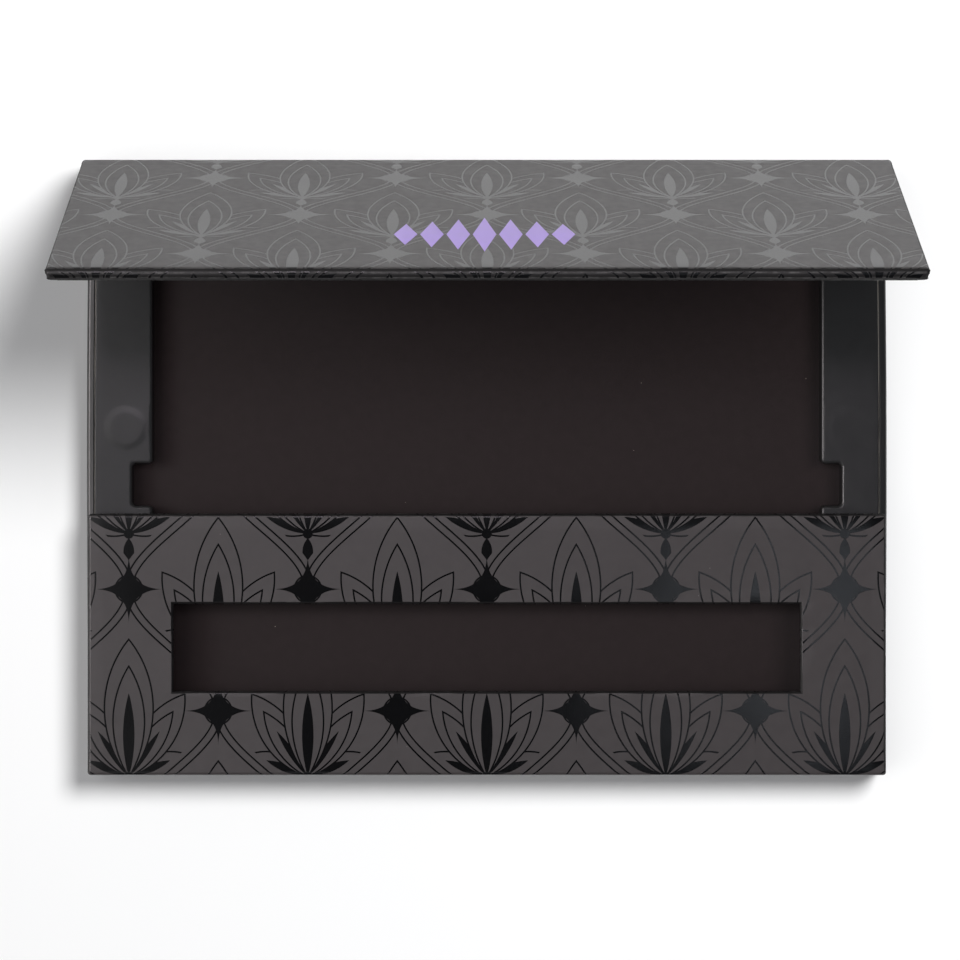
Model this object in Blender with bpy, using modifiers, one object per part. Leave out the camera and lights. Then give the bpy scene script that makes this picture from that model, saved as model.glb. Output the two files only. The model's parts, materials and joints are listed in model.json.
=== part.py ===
"""Gatefold makeup palette of paper-wrapped board, in metres, +Z up.

The origin is under the middle of the tray, on the surface that it lies on. +X runs across its width and +Y to
its back. The lid, hinged at the back, stands open. The windowed front panel, hinged at the front, lies closed.
"""

import math

import bmesh
import bpy

# Overall sizes
tray_width = 0.2232
tray_depth = 0.172
lid_overhang = 0.00155
panel_reach = 0.0733
joint_gap = 0.0004
lid_open_angle = math.radians(68.8)

# Thicknesses of what it is made from
paper = 0.00025
glue_line = 0.0003
tray_board_thickness = 0.0015
spine_board_thickness = 0.0015
flap_board_thickness = 0.0025
magnetic_sheet_thickness = 0.0008

# The well and the rim round it
well_depth = 0.0069
side_rim = 0.0178
end_rim = 0.0195
frame_clearance = 0.0003
notch_length = 0.01175
notch_reach = 0.0057
notch_behind_joint = 0.0079
notch_radius = 0.0009
rim_edge_radius = 0.0003

# The tray's outside
tray_edge_radius = 0.0006
tray_turn_in = 0.005
sheet_clearance = 0.0004
base_sheet_margin = 0.0016
flange_reach = 0.010

# The flaps
flap_edge_radius = 0.001
lid_turn_in = 0.014
panel_turn_in = 0.009
liner_margin = 0.003
liner_slope = 0.0015
liner_clearance = 0.0008
window_side_margin = 0.02405
window_back_margin = 0.0253
window_front_margin = 0.0223
window_edge_radius = 0.0005
seat_gap = 0.0003
hinge_gap = 0.0004
hinge_slit = 0.0002
lining_inset = 0.0008

# The catch magnets
magnet_diameter = 0.010
magnet_thickness = 0.001
magnet_clearance = 0.0003
magnet_from_joint = 0.0238
emboss_height = 0.00015
emboss_spread = 0.00125

# A cutter runs past the face that it cuts by this much
overrun = 0.002

# Facets of rounded edges and discs
edge_segments = 3
fine_segments = 2
disc_segments = 40

# Heights, from the table up
skin = paper + glue_line
tray_bottom = skin
tray_board_bottom = tray_bottom + skin
sheet_bottom = tray_board_bottom + tray_board_thickness + glue_line
sheet_top = sheet_bottom + magnetic_sheet_thickness
rim_bottom = sheet_top + glue_line
rim_top = sheet_top + well_depth
flap_underside = rim_top + seat_gap
wrap_underside = flap_underside + paper + glue_line
flap_thickness = 2 * skin + flap_board_thickness
flap_top = wrap_underside + flap_thickness
hinge_height = flap_top - paper / 2

# Places across the width, from the middle
half_width = tray_width / 2
lid_half_width = half_width + lid_overhang
wall_thickness = 2 * skin + tray_board_thickness
frame_half_width = half_width - wall_thickness - frame_clearance
cavity_half_width = half_width - side_rim
notch_half_width = cavity_half_width + notch_reach
magnet_x = (cavity_half_width + frame_half_width) / 2

# Places along the depth, from the middle
half_depth = tray_depth / 2
spine_thickness = skin + spine_board_thickness + glue_line
box_half_depth = half_depth - spine_thickness
frame_half_depth = box_half_depth - wall_thickness - frame_clearance
cavity_half_depth = half_depth - end_rim
joint_y = panel_reach - half_depth
notch_y = joint_y + notch_behind_joint
hinge_y = half_depth - paper / 2
lining_outer_y = half_depth - skin
flap_hinge_side = lining_outer_y - paper - hinge_gap
lid_front = joint_y + joint_gap / 2
panel_back = joint_y - joint_gap / 2
window_half_width = half_width - window_side_margin
window_back = panel_back - window_back_margin
window_front = window_front_margin - flap_hinge_side
lid_magnet_y = joint_y + magnet_from_joint
panel_magnet_y = joint_y - magnet_from_joint


def clear_scene():
    for found in list(bpy.data.objects):
        bpy.data.objects.remove(found, do_unlink=True)


def new_collection(name):
    collection = bpy.data.collections.new(name)
    bpy.context.scene.collection.children.link(collection)
    return collection


def new_material(name, colour, roughness, metallic=0.0):
    material = bpy.data.materials.new(name)
    material.use_nodes = True
    shader = material.node_tree.nodes["Principled BSDF"]
    shader.inputs["Base Color"].default_value = (*colour, 1.0)
    shader.inputs["Roughness"].default_value = roughness
    shader.inputs["Metallic"].default_value = metallic
    return material


def box(lower, upper):
    """A bmesh box between two corners."""
    shape = bmesh.new()
    bmesh.ops.create_cube(shape, size=1)
    for vert in shape.verts:
        for axis in range(3):
            share = vert.co[axis] + 0.5
            vert.co[axis] = lower[axis] + share * (upper[axis] - lower[axis])
    return shape


def round_edges(shape, radius, segments, chosen):
    """Bevels the edges of a bmesh for which chosen(edge) holds."""
    edges = [edge for edge in shape.edges if chosen(edge)]
    bmesh.ops.bevel(
        shape, geom=edges, offset=radius, segments=segments, profile=0.5, affect="EDGES", clamp_overlap=True
    )


def is_sharp(edge):
    return len(edge.link_faces) == 2 and edge.calc_face_angle() > math.radians(45)


def is_upright(edge):
    start, end = (vert.co for vert in edge.verts)
    return is_sharp(edge) and abs((end - start).normalized().z) > 0.99


def make_object(name, shape, material, group, pivot=None):
    """Turns a bmesh into a named object. A moving piece hangs from the empty on its hinge's axis."""
    mesh = bpy.data.meshes.new(name)
    shape.to_mesh(mesh)
    shape.free()
    made = bpy.data.objects.new(name, mesh)
    group.objects.link(made)
    if material is not None:
        mesh.materials.append(material)
    if pivot is not None:
        made.parent = pivot
        made.location = -pivot.location
    return made


def make_cutter(name, shape, group, pivot=None):
    cutter = make_object(name, shape, None, group, pivot)
    cutter.hide_render = True
    cutter.display_type = "WIRE"
    return cutter


def cut(target, cutter, operation="DIFFERENCE"):
    modifier = target.modifiers.new(cutter.name, "BOOLEAN")
    modifier.operation = operation
    modifier.solver = "EXACT"
    modifier.object = cutter


def give_thickness(target, thickness):
    """Thickens an open surface inwards, away from its normals."""
    modifier = target.modifiers.new("Thickness", "SOLIDIFY")
    modifier.thickness = thickness
    modifier.offset = -1
    modifier.use_even_offset = True
    modifier.use_quality_normals = True


def disc(x, y, bottom, top, bottom_radius, top_radius):
    """A bmesh disc or short cone, standing on its lower face."""
    shape = bmesh.new()
    bmesh.ops.create_cone(
        shape,
        cap_ends=True,
        segments=disc_segments,
        radius1=bottom_radius,
        radius2=top_radius,
        depth=top - bottom,
    )
    bmesh.ops.translate(shape, verts=shape.verts, vec=(x, y, (bottom + top) / 2))
    return shape


def open_face_centre(shape, face, margin):
    """Insets a face by a margin and removes what lies inside it."""
    bmesh.ops.inset_region(shape, faces=[face], thickness=margin, use_even_offset=True)
    bmesh.ops.delete(shape, geom=[face], context="FACES_ONLY")


def lowest_face(shape):
    return min(shape.faces, key=lambda face: face.calc_center_median().z)


def highest_face(shape):
    return max(shape.faces, key=lambda face: face.calc_center_median().z)


def pull_edges(shape, edges, move):
    """Extrudes edges by a vector and returns the verts at their far end."""
    pulled = bmesh.ops.extrude_edge_only(shape, edges=edges)["geom"]
    verts = [item for item in pulled if isinstance(item, bmesh.types.BMVert)]
    bmesh.ops.translate(shape, verts=verts, vec=move)
    return verts


def make_tray(materials, parts):
    """The box: a board tray, its black wrap, and the plain sheet glued under it."""
    shape = box(
        (skin - half_width, skin - box_half_depth, tray_board_bottom),
        (half_width - skin, box_half_depth - skin, rim_top - skin),
    )
    bmesh.ops.delete(shape, geom=[highest_face(shape)], context="FACES_ONLY")
    board = make_object("tray_board", shape, materials["greyboard"], parts)
    give_thickness(board, tray_board_thickness)

    # The wrap goes up the outside, over the top of each wall and a little way down inside it.
    shape = box((-half_width, -box_half_depth, tray_bottom), (half_width, box_half_depth, rim_top))
    open_face_centre(shape, highest_face(shape), wall_thickness)
    pull_edges(shape, [edge for edge in shape.edges if edge.is_boundary], (0, 0, -tray_turn_in))
    round_edges(shape, tray_edge_radius, fine_segments, lambda edge: is_sharp(edge) and edge.is_convex)
    wrap = make_object("tray_wrap", shape, materials["black_paper"], parts)
    give_thickness(wrap, paper)

    # The sheet lies between the two flaps of spine paper that are turned under the box.
    reach = box_half_depth + glue_line - flange_reach - sheet_clearance
    side = half_width - base_sheet_margin
    make_object("base_sheet", box((-side, -reach, 0), (side, reach, paper)), materials["black_paper"], parts)


def make_magnetic_sheet(materials, parts):
    """The rubber sheet covers the whole floor of the box, so it runs on under the rim."""
    side = half_width - skin - tray_board_thickness - sheet_clearance
    reach = box_half_depth - skin - tray_board_thickness - sheet_clearance
    shape = box((-side, -reach, sheet_bottom), (side, reach, sheet_top))
    make_object("magnetic_sheet", shape, materials["magnetic_rubber"], parts)


def cavity_boxes(grow, bottom, top):
    """The well and the bar across its two finger notches, as boxes that reach past their edges by grow."""
    side = cavity_half_width + grow
    reach = cavity_half_depth + grow
    notch_side = notch_half_width + grow
    notch_half_length = notch_length / 2 + grow
    well = box((-side, -reach, bottom), (side, reach, top))
    notches = box((-notch_side, notch_y - notch_half_length, bottom), (notch_side, notch_y + notch_half_length, top))
    return well, notches


def magnet_places():
    """Each catch magnet's name, after the flap that it holds, with its place on the rim."""
    for flap, y in (("lid", lid_magnet_y), ("panel", panel_magnet_y)):
        for side, x in (("left", -magnet_x), ("right", magnet_x)):
            yield flap, side, x, y


def make_rim(materials, parts, cutters):
    """The frame that makes the well, its paper, and the magnets between them."""
    frame_top = rim_top - skin
    side = frame_half_width - skin
    reach = frame_half_depth - skin
    frame = make_object(
        "rim_frame", box((-side, -reach, rim_bottom), (side, reach, frame_top)), materials["greyboard"], parts
    )
    for name, shape in zip(("well", "notches"), cavity_boxes(skin, rim_bottom - overrun, frame_top + overrun)):
        cut(frame, make_cutter("frame_" + name + "_cutter", shape, cutters))
    for flap, hand, x, y in magnet_places():
        radius = magnet_diameter / 2
        name = flap + "_" + hand
        pocket_bottom = frame_top - magnet_thickness - magnet_clearance
        hole_radius = radius + magnet_clearance
        hole = disc(x, y, pocket_bottom, frame_top + overrun, hole_radius, hole_radius)
        cut(frame, make_cutter("pocket_" + name + "_cutter", hole, cutters))
        magnet = disc(x, y, frame_top - magnet_thickness, frame_top, radius, radius)
        make_object("rim_magnet_" + name, magnet, materials["magnet"], parts)

    # The paper is first the frame's whole outside, cut by the well, and then has its underside taken away.
    block = make_object(
        "rim_block",
        box((-frame_half_width, -frame_half_depth, rim_bottom), (frame_half_width, frame_half_depth, rim_top)),
        None,
        cutters,
    )
    for name, shape in zip(("well", "notches"), cavity_boxes(0, rim_bottom - overrun, rim_top + overrun)):
        cut(block, make_cutter("wrap_" + name + "_cutter", shape, cutters))
    bpy.context.view_layer.update()
    shape = bmesh.new()
    shape.from_object(block, bpy.context.evaluated_depsgraph_get())
    bpy.data.objects.remove(block, do_unlink=True)
    round_edges(shape, notch_radius, edge_segments, is_upright)
    underside = [face for face in shape.faces if face.normal.z < 0]
    bmesh.ops.delete(shape, geom=underside, context="FACES")
    round_edges(shape, rim_edge_radius, fine_segments, is_sharp)
    wrap = make_object("rim_wrap", shape, materials["black_paper"], parts)
    give_thickness(wrap, paper)
    for flap, hand, x, y in magnet_places():
        radius = magnet_diameter / 2
        raised = disc(x, y, rim_top - paper / 2, rim_top + emboss_height, radius + emboss_spread, radius)
        cut(wrap, make_cutter("emboss_" + flap + "_" + hand + "_cutter", raised, cutters), "UNION")


def make_spine(name, direction, side, materials, parts):
    """A stiff strip on the box's end wall. Its paper's free top is the flap's hinge, lined behind."""
    inner_y = box_half_depth + glue_line
    top = hinge_height - hinge_slit

    def turned(shape):
        """Turns a piece made for the back to the end that direction names."""
        if direction < 0:
            bmesh.ops.scale(shape, vec=(1, -1, 1), verts=shape.verts)
            bmesh.ops.reverse_faces(shape, faces=shape.faces)
        return shape

    board = box((skin - side, inner_y, skin), (side - skin, half_depth - skin, rim_top))
    make_object(name + "_spine_board", turned(board), materials["greyboard"], parts)

    # The paper covers the strip's outside, ends and foot, and is turned under the box.
    shape = box((-side, inner_y, 0), (side, half_depth, top))
    gone = [face for face in shape.faces if face.normal.z > 0.5 or face.normal.y < -0.5]
    bmesh.ops.delete(shape, geom=gone, context="FACES")
    bmesh.ops.bisect_plane(
        shape, geom=shape.verts[:] + shape.edges[:] + shape.faces[:], plane_co=(0, 0, rim_top), plane_no=(0, 0, 1)
    )
    above_ends = [
        face for face in shape.faces if abs(face.normal.x) > 0.5 and face.calc_center_median().z > rim_top
    ]
    bmesh.ops.delete(shape, geom=above_ends, context="FACES")
    foot = next(
        edge
        for edge in shape.edges
        if edge.is_boundary and all(vert.co.z < paper and vert.co.y < inner_y + paper for vert in edge.verts)
    )
    for vert in pull_edges(shape, [foot], (0, -flange_reach, 0)):
        vert.co.x = math.copysign(half_width - base_sheet_margin, vert.co.x)
    round_edges(shape, tray_edge_radius, fine_segments, is_sharp)
    wrap = make_object(name + "_spine_wrap", turned(shape), materials["printed_paper"], parts)
    give_thickness(wrap, paper)

    lining = box(
        (liner_margin - side, lining_outer_y - paper, rim_top + glue_line),
        (side - liner_margin, lining_outer_y, top - lining_inset),
    )
    make_object(name + "_hinge_lining", turned(lining), materials["black_paper"], parts)


def make_flap_board(name, lower, upper, materials, parts, pivot):
    """The board inside a flap's paper. Its edges are crushed round, as the paper over them is."""
    shape = box([at + skin for at in lower], [at - skin for at in upper])
    round_edges(shape, flap_edge_radius - skin, fine_segments, is_sharp)
    return make_object(name + "_board", shape, materials["greyboard"], parts, pivot)


def make_flap_magnets(flap, board, materials, parts, cutters, pivot):
    """Discs let into the board's inner face, over those in the rim."""
    bottom = wrap_underside + skin
    for owner, hand, x, y in magnet_places():
        if owner != flap:
            continue
        radius = magnet_diameter / 2
        hole_radius = radius + magnet_clearance
        name = flap + "_magnet_" + hand
        hole = disc(x, y, bottom - overrun, bottom + magnet_thickness + magnet_clearance, hole_radius, hole_radius)
        cut(board, make_cutter(name + "_cutter", hole, cutters, pivot))
        magnet = disc(x, y, bottom, bottom + magnet_thickness, radius, radius)
        make_object(name, magnet, materials["magnet"], parts, pivot)


def join_to_hinge(wrap, lower, upper, cutters, pivot, direction):
    """Runs a flap's outer paper on from its edge to the hinge's axis."""
    start = flap_hinge_side - flap_edge_radius - overrun
    end = hinge_y - hinge_slit
    ends = sorted((direction * start, direction * end))
    strip = box(
        (lower[0] + flap_edge_radius, ends[0], flap_top - paper),
        (upper[0] - flap_edge_radius, ends[1], flap_top),
    )
    cut(wrap, make_cutter(wrap.name + "_hinge_strip", strip, cutters, pivot), "UNION")


def make_lid(materials, parts, cutters):
    """The back flap, built closed and then turned open on its hinge."""
    pivot = bpy.data.objects.new("lid_pivot", None)
    pivot.location = (0, hinge_y, hinge_height)
    parts.objects.link(pivot)
    lower = (-lid_half_width, lid_front, wrap_underside)
    upper = (lid_half_width, flap_hinge_side, flap_top)
    board = make_flap_board("lid", lower, upper, materials, parts, pivot)
    make_flap_magnets("lid", board, materials, parts, cutters, pivot)

    shape = box(lower, upper)
    open_face_centre(shape, lowest_face(shape), lid_turn_in)
    round_edges(shape, flap_edge_radius, edge_segments, is_sharp)
    wrap = make_object("lid_wrap", shape, materials["printed_paper"], parts, pivot)
    give_thickness(wrap, paper)
    join_to_hinge(wrap, lower, upper, cutters, pivot, 1)

    # The liner lies on the turned-in edges and drops between them on to the board.
    shape = box(
        (lower[0] + liner_margin, lower[1] + liner_margin, flap_underside),
        (upper[0] - liner_margin, upper[1] - liner_margin, flap_underside + paper),
    )
    top = highest_face(shape)
    others = [face for face in shape.faces if face is not top]
    band = lid_turn_in - liner_margin + liner_clearance
    for thickness in (band, liner_slope):
        bmesh.ops.inset_region(shape, faces=[top], thickness=thickness, use_even_offset=True)
    bmesh.ops.translate(shape, verts=top.verts, vec=(0, 0, skin))
    bmesh.ops.delete(shape, geom=others, context="FACES")
    liner = make_object("lid_liner", shape, materials["black_paper"], parts, pivot)
    give_thickness(liner, paper)
    pivot.rotation_euler.x = -lid_open_angle


def window_box(grow, bottom, top):
    return box(
        (-window_half_width - grow, window_front - grow, bottom),
        (window_half_width + grow, window_back + grow, top),
    )


def make_panel(materials, parts, cutters):
    """The front flap with its window, closed on the rim."""
    pivot = bpy.data.objects.new("panel_pivot", None)
    pivot.location = (0, -hinge_y, hinge_height)
    parts.objects.link(pivot)
    lower = (-half_width, -flap_hinge_side, wrap_underside)
    upper = (half_width, panel_back, flap_top)
    board = make_flap_board("panel", lower, upper, materials, parts, pivot)
    hole = window_box(skin, wrap_underside - overrun, flap_top + overrun)
    cut(board, make_cutter("board_window_cutter", hole, cutters, pivot))
    make_flap_magnets("panel", board, materials, parts, cutters, pivot)

    # The paper's faces are cut on the window's four lines, the pane between them is taken out of the top and the
    # underside, and the two holes are bridged.
    shape = box(lower, upper)
    for place, normal in (
        ((-window_half_width, 0, 0), (1, 0, 0)),
        ((window_half_width, 0, 0), (1, 0, 0)),
        ((0, window_front, 0), (0, 1, 0)),
        ((0, window_back, 0), (0, 1, 0)),
    ):
        everything = shape.verts[:] + shape.edges[:] + shape.faces[:]
        bmesh.ops.bisect_plane(shape, geom=everything, plane_co=place, plane_no=normal)

    def in_window(point):
        return abs(point.x) < window_half_width and window_front < point.y < window_back

    panes = [face for face in shape.faces if in_window(face.calc_center_median())]
    bmesh.ops.delete(shape, geom=panes, context="FACES")
    rims = [edge for edge in shape.edges if edge.is_boundary]
    bmesh.ops.bridge_loops(shape, edges=rims)
    bmesh.ops.recalc_face_normals(shape, faces=shape.faces)
    underside = [face for face in shape.faces if face.normal.z < -0.5]
    bmesh.ops.inset_region(shape, faces=underside, thickness=panel_turn_in, use_even_offset=True)
    bmesh.ops.delete(shape, geom=underside, context="FACES")

    def is_window_edge(edge):
        near = window_edge_radius
        return is_sharp(edge) and not is_upright(edge) and all(
            abs(vert.co.x) < window_half_width + near and window_front - near < vert.co.y < window_back + near
            for vert in edge.verts
        )

    round_edges(shape, window_edge_radius, fine_segments, is_window_edge)
    round_edges(
        shape, flap_edge_radius, edge_segments, lambda edge: is_sharp(edge) and edge.calc_length() > flap_edge_radius
    )
    wrap = make_object("panel_wrap", shape, materials["printed_paper"], parts, pivot)
    give_thickness(wrap, paper)
    join_to_hinge(wrap, lower, upper, cutters, pivot, -1)

    liner = make_object(
        "panel_liner",
        box(
            (lower[0] + liner_margin, lower[1] + liner_margin, flap_underside),
            (upper[0] - liner_margin, upper[1] - liner_margin, flap_underside + paper),
        ),
        materials["black_paper"],
        parts,
        pivot,
    )
    hole = window_box(liner_margin, flap_underside - overrun, flap_underside + paper + overrun)
    cut(liner, make_cutter("liner_window_cutter", hole, cutters, pivot))


def make_palette():
    clear_scene()
    parts = new_collection("makeup_palette")
    cutters = new_collection("cutters")
    materials = {
        "greyboard": new_material("greyboard", (0.36, 0.34, 0.31), 0.9),
        "black_paper": new_material("black_paper", (0.018, 0.018, 0.019), 0.42),
        "printed_paper": new_material("printed_paper", (0.030, 0.028, 0.030), 0.5),
        "magnetic_rubber": new_material("magnetic_rubber", (0.026, 0.020, 0.020), 0.75),
        "magnet": new_material("magnet", (0.62, 0.60, 0.57), 0.25, 1.0),
    }
    make_tray(materials, parts)
    make_magnetic_sheet(materials, parts)
    make_rim(materials, parts, cutters)
    make_spine("back", 1, lid_half_width, materials, parts)
    make_spine("front", -1, half_width, materials, parts)
    make_lid(materials, parts, cutters)
    make_panel(materials, parts, cutters)


make_palette()
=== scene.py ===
"""The looks of a gatefold makeup palette: paper-wrapped board, a magnetic floor, a lid and a windowed front flap."""

import json
import math

import bmesh
import bpy
from mathutils import Matrix, Vector, noise


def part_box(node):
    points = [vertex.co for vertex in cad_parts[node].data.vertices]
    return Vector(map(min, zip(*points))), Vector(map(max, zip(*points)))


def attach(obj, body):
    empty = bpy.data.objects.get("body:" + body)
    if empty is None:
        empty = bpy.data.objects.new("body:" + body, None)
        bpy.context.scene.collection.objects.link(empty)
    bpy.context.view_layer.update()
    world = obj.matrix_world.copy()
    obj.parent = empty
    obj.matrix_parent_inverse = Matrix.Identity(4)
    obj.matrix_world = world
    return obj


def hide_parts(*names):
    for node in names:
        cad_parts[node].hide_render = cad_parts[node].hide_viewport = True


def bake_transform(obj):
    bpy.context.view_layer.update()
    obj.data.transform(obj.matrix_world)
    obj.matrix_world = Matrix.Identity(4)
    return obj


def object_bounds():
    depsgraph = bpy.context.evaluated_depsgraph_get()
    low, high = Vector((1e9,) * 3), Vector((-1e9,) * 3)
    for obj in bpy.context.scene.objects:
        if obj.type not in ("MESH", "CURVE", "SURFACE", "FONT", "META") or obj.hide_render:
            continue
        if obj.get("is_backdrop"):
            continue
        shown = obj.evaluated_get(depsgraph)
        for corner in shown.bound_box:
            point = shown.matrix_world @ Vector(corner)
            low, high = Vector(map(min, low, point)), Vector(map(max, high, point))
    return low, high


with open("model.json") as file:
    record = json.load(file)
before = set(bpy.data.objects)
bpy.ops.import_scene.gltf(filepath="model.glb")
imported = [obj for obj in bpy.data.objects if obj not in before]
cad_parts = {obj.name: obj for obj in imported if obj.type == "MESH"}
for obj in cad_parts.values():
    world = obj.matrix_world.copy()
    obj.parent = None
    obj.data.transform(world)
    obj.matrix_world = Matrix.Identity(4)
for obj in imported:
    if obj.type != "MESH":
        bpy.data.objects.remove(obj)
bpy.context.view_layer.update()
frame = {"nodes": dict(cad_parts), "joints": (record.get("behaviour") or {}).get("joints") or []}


# Greyboard. The box, the rim, the two spines and both flaps are stiff board pressed from waste paper. It shows only
# as a raw grey edge between the papers that wrap it, so one fibrous finish serves all six boards.


def feed_socket(tree, socket, feed):
    """Links another node's result to a socket, or sets the socket to a number or a colour."""
    if isinstance(feed, bpy.types.NodeSocket):
        tree.links.new(feed, socket)
    else:
        socket.default_value = feed


def feed_inputs(tree, node, **feeds):
    """Feeds a node's inputs by their names, with spaces as underscores."""
    for name, feed in feeds.items():
        feed_socket(tree, node.inputs[name.replace("_", " ")], feed)


def add_node(tree, kind, settings=None, **feeds):
    """Adds a node with its settings and feeds its inputs."""
    node = tree.nodes.new(kind)
    for name, value in (settings or {}).items():
        setattr(node, name, value)
    feed_inputs(tree, node, **feeds)
    return node


def blend_colours(tree, share, first, second):
    """Goes from the first colour to the second as share goes from 0 to 1."""
    node = tree.nodes.new("ShaderNodeMix")
    node.data_type = "RGBA"
    for index, feed in ((0, share), (6, first), (7, second)):
        feed_socket(tree, node.inputs[index], feed)
    return node.outputs[2]


def ranged(tree, value, low, high, to_low, to_high):
    """Turns a value between low and high into one between to_low and to_high, and holds it there. The values below
    with range in their names hold these four numbers."""
    ends = {"From_Min": low, "From_Max": high, "To_Min": to_low, "To_Max": to_high}
    return add_node(tree, "ShaderNodeMapRange", Value=value, **ends).outputs["Result"]


def new_finish(name):
    """A material and its tree, with the shader that it starts with."""
    material = bpy.data.materials.new(name)
    material.use_nodes = True
    tree = material.node_tree
    return material, tree, tree.nodes["Principled BSDF"]


def dress(finish, *nodes):
    """Gives a finish to CAD nodes that keep their own shape."""
    for node in nodes:
        frame["nodes"][node].data.materials.clear()
        frame["nodes"][node].data.materials.append(finish)


board_dark = (0.22, 0.20, 0.18, 1)
board_pale = (0.50, 0.47, 0.43, 1)
board_roughness = 0.92
board_fibre_height = 0.00008
board_fibre_strength = 0.8
fleck_colour = (0.10, 0.09, 0.10, 1)
fleck_range = (0.05, 0.18, 0.8, 0.0)

greyboard, tree, shader = new_finish("greyboard")
place = add_node(tree, "ShaderNodeTexCoord").outputs["Object"]
fibres = add_node(tree, "ShaderNodeTexNoise", Vector=place, Scale=1400.0, Detail=5.0, Roughness=0.7)
flecks = add_node(tree, "ShaderNodeTexVoronoi", Vector=place, Scale=900.0)
board_colour = blend_colours(tree, fibres.outputs["Fac"], board_dark, board_pale)
fleck_share = ranged(tree, flecks.outputs["Distance"], *fleck_range)
board_colour = blend_colours(tree, fleck_share, board_colour, fleck_colour)
board_relief = add_node(
    tree, "ShaderNodeBump", Height=fibres.outputs["Fac"], Distance=board_fibre_height, Strength=board_fibre_strength
)
feed_inputs(
    tree, shader, Base_Color=board_colour, Roughness=board_roughness, Normal=board_relief.outputs["Normal"]
)
dress(greyboard, "tray_board", "rim_frame", "back_spine_board", "front_spine_board", "lid_board", "panel_board")


# The box's paper. Thin black art paper with a satin film is drawn up the outside of the set-up box, over the top of
# each wall and a little way down inside it. Its edges are pressed round, and fine fibres show in its sheen.

# Places less than a hair apart count as touching. Mostly says how much of a face's normal lies along an axis, and a
# corner of the sheet turns by more than the sharp angle, in radians.
hair = 0.0001
mostly = 0.9
flat_enough = 0.995
sharp_angle = 1.0
wander_scale = 210
smooth_up_to = math.radians(35)


def start_block(name, lowest, highest):
    """Adds a block between two corners and opens it for shaping."""
    bpy.ops.object.select_all(action="DESELECT")
    middle = [(low + high) / 2 for low, high in zip(lowest, highest)]
    size = [high - low for low, high in zip(lowest, highest)]
    bpy.ops.mesh.primitive_cube_add(size=1, location=middle, scale=size)
    piece = bpy.context.object
    piece.name = name
    piece.data.name = name
    bpy.ops.object.transform_apply(location=True, rotation=True, scale=True)
    bpy.ops.object.mode_set(mode="EDIT")
    return piece


def select(piece, kind, wanted):
    """Selects the faces or edges for which wanted(item) holds, and nothing else."""
    bpy.ops.mesh.select_mode(type=kind)
    bpy.ops.mesh.select_all(action="DESELECT")
    shape = bmesh.from_edit_mesh(piece.data)
    shape.normal_update()
    for item in shape.faces if kind == "FACE" else shape.edges:
        if wanted(item):
            item.select_set(True)
    shape.select_flush_mode()
    bmesh.update_edit_mesh(piece.data)


def middle_of(item):
    """The middle of a face or an edge."""
    return sum((vert.co for vert in item.verts), Vector()) / len(item.verts)


def is_corner(edge):
    """An outward corner between two faces of the sheet."""
    return len(edge.link_faces) == 2 and edge.is_convex and edge.calc_face_angle() > sharp_angle


def faces_up(face):
    return face.normal.z > mostly


def cut_across(axis, place):
    """Cuts all faces of the piece in hand where a plane across the axis meets them."""
    bpy.ops.mesh.select_all(action="SELECT")
    point = [0, 0, 0]
    normal = [0, 0, 0]
    point["XYZ".index(axis)] = place
    normal["XYZ".index(axis)] = 1
    bpy.ops.mesh.bisect(plane_co=point, plane_no=normal)


def cut_evenly(axis, low, high, spacing):
    """Cuts the piece in hand across at even places, so that its pressed edges can wander."""
    count = round((high - low) / spacing)
    for index in range(1, count):
        cut_across(axis, low + (high - low) * index / count)


def let_edges_wander(piece, depth, reach=1.0):
    """Moves the pressed edges in by up to a depth, as paper that is turned over board by hand lies. Nothing further
    than reach from the middle moves."""
    shape = bmesh.from_edit_mesh(piece.data)
    shape.normal_update()
    for vert in shape.verts:
        if max(abs(part) for part in vert.normal) < flat_enough and abs(vert.co.y) < reach:
            vert.co -= vert.normal * depth * (0.5 + 0.5 * noise.noise(vert.co * wander_scale))
    bmesh.update_edit_mesh(piece.data)


def bow_out(piece, depth, beyond, half_depth):
    """Bows the piece's sides out, most at their middle. Nothing nearer than beyond to the middle moves."""
    shape = bmesh.from_edit_mesh(piece.data)
    for vert in shape.verts:
        if abs(vert.co.x) > beyond:
            vert.co.x += math.copysign(depth * max(0, 1 - (vert.co.y / half_depth) ** 2), vert.co.x)
    bmesh.update_edit_mesh(piece.data)


def finish_paper(piece, finish, thickness):
    """Gives the sheet its thickness, inwards, and shades its pressed edges smoothly into its flat sides."""
    bpy.ops.object.mode_set(mode="OBJECT")
    bpy.ops.object.modifier_add(type="SOLIDIFY")
    piece.modifiers["Solidify"].thickness = thickness
    piece.modifiers["Solidify"].offset = -1
    bpy.ops.object.modifier_apply(modifier="Solidify")
    bpy.ops.object.shade_smooth_by_angle(angle=smooth_up_to)
    bpy.ops.object.modifier_add(type="WEIGHTED_NORMAL")
    piece.modifiers["WeightedNormal"].keep_sharp = True
    bpy.ops.object.modifier_apply(modifier="WeightedNormal")
    piece.data.materials.clear()
    piece.data.materials.append(finish)


def maths(tree, operation, *terms):
    """Adds a Math node and gives its result. Each term is a number or another node's result."""
    node = tree.nodes.new("ShaderNodeMath")
    node.operation = operation
    for socket, term in zip(node.inputs, terms):
        feed_socket(tree, socket, term)
    return node.outputs["Value"]


def new_group(name, inputs, outputs):
    """A node group with named inputs and outputs, each a name and a kind of socket."""
    group = bpy.data.node_groups.new(name, "ShaderNodeTree")
    for label, kind in inputs:
        group.interface.new_socket(label, in_out="INPUT", socket_type="NodeSocket" + kind)
    for label, kind in outputs:
        group.interface.new_socket(label, in_out="OUTPUT", socket_type="NodeSocket" + kind)
    return group, group.nodes.new("NodeGroupInput").outputs, group.nodes.new("NodeGroupOutput").inputs


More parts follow.
